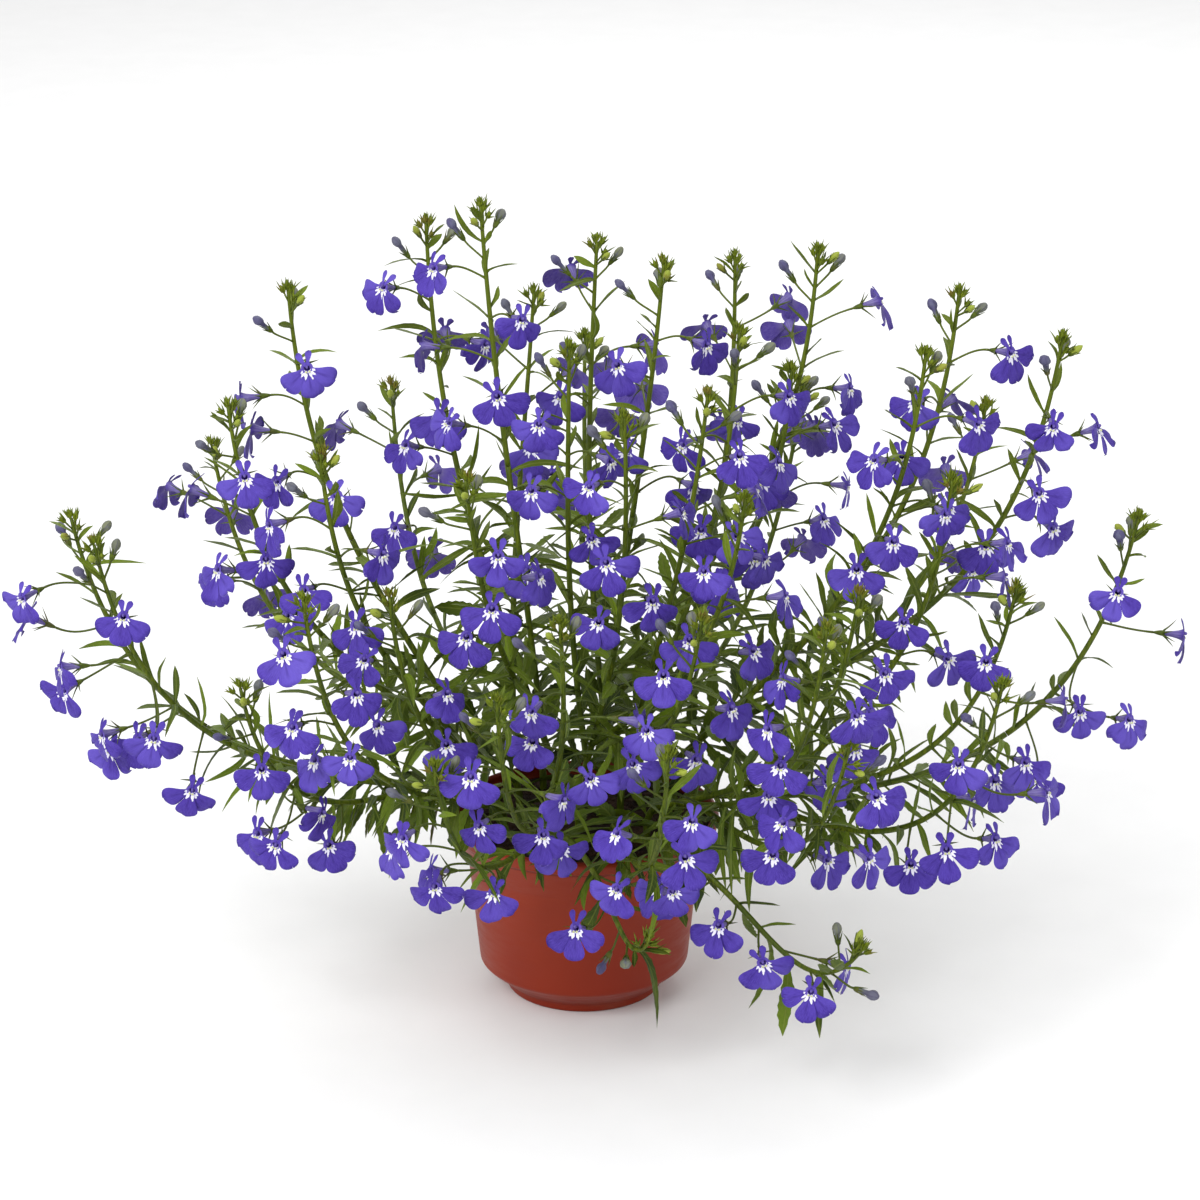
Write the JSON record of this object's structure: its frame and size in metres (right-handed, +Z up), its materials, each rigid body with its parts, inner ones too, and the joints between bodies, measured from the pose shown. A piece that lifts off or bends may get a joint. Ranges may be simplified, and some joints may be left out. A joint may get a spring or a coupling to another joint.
{
  "type": "potted lobelia",
  "caption": "Trailing lobelia in bloom in a round nursery pot: violet five-lobed flowers on thin arching stems with narrow leaves.",
  "frame": {"origin": "centre of the pot's flat base, on the surface that it stands on", "axes": "+Z up along the pot's axis, -Y towards the viewer of the plant's front, +X to that viewer's right"},
  "size_m": [0.4475, 0.3682, 0.3071],
  "materials": {
    "pot": "satin",
    "soil": "matte",
    "foliage": "satin",
    "bloom": "matte"
  },
  "bodies": {
    "root": {"pot": "pot", "soil": "soil", "leafy_stem_01": "foliage", "leafy_stem_02": "foliage", "leafy_stem_03": "foliage", "leafy_stem_04": "foliage", "leafy_stem_05": "foliage", "leafy_stem_06": "foliage", "leafy_stem_07": "foliage", "leafy_stem_08": "foliage", "leafy_stem_09": "foliage", "leafy_stem_10": "foliage", "leafy_stem_11": "foliage", "leafy_stem_12": "foliage", "leafy_stem_13": "foliage", "leafy_stem_14": "foliage", "spray_01": "bloom", "spray_02": "bloom", "spray_03": "bloom", "spray_04": "bloom", "spray_05": "bloom", "spray_06": "bloom", "spray_07": "bloom", "spray_08": "bloom", "spray_09": "bloom", "spray_10": "bloom", "spray_11": "bloom", "spray_12": "bloom", "spray_13": "bloom", "spray_14": "bloom", "spray_15": "bloom", "spray_16": "bloom", "spray_17": "bloom", "spray_18": "bloom", "spray_19": "bloom", "spray_20": "bloom", "spray_21": "bloom", "spray_22": "bloom", "spray_23": "bloom", "spray_24": "bloom", "spray_25": "bloom", "spray_26": "bloom", "spray_27": "bloom", "spray_28": "bloom", "spray_29": "bloom", "spray_30": "bloom", "spray_31": "bloom", "spray_32": "bloom", "spray_33": "bloom", "spray_34": "bloom", "spray_35": "bloom", "spray_36": "bloom", "spray_37": "bloom", "spray_38": "bloom", "spray_39": "bloom", "spray_40": "bloom", "spray_41": "bloom", "spray_42": "bloom", "spray_43": "bloom", "spray_44": "bloom"}
  },
  "joints": []
}
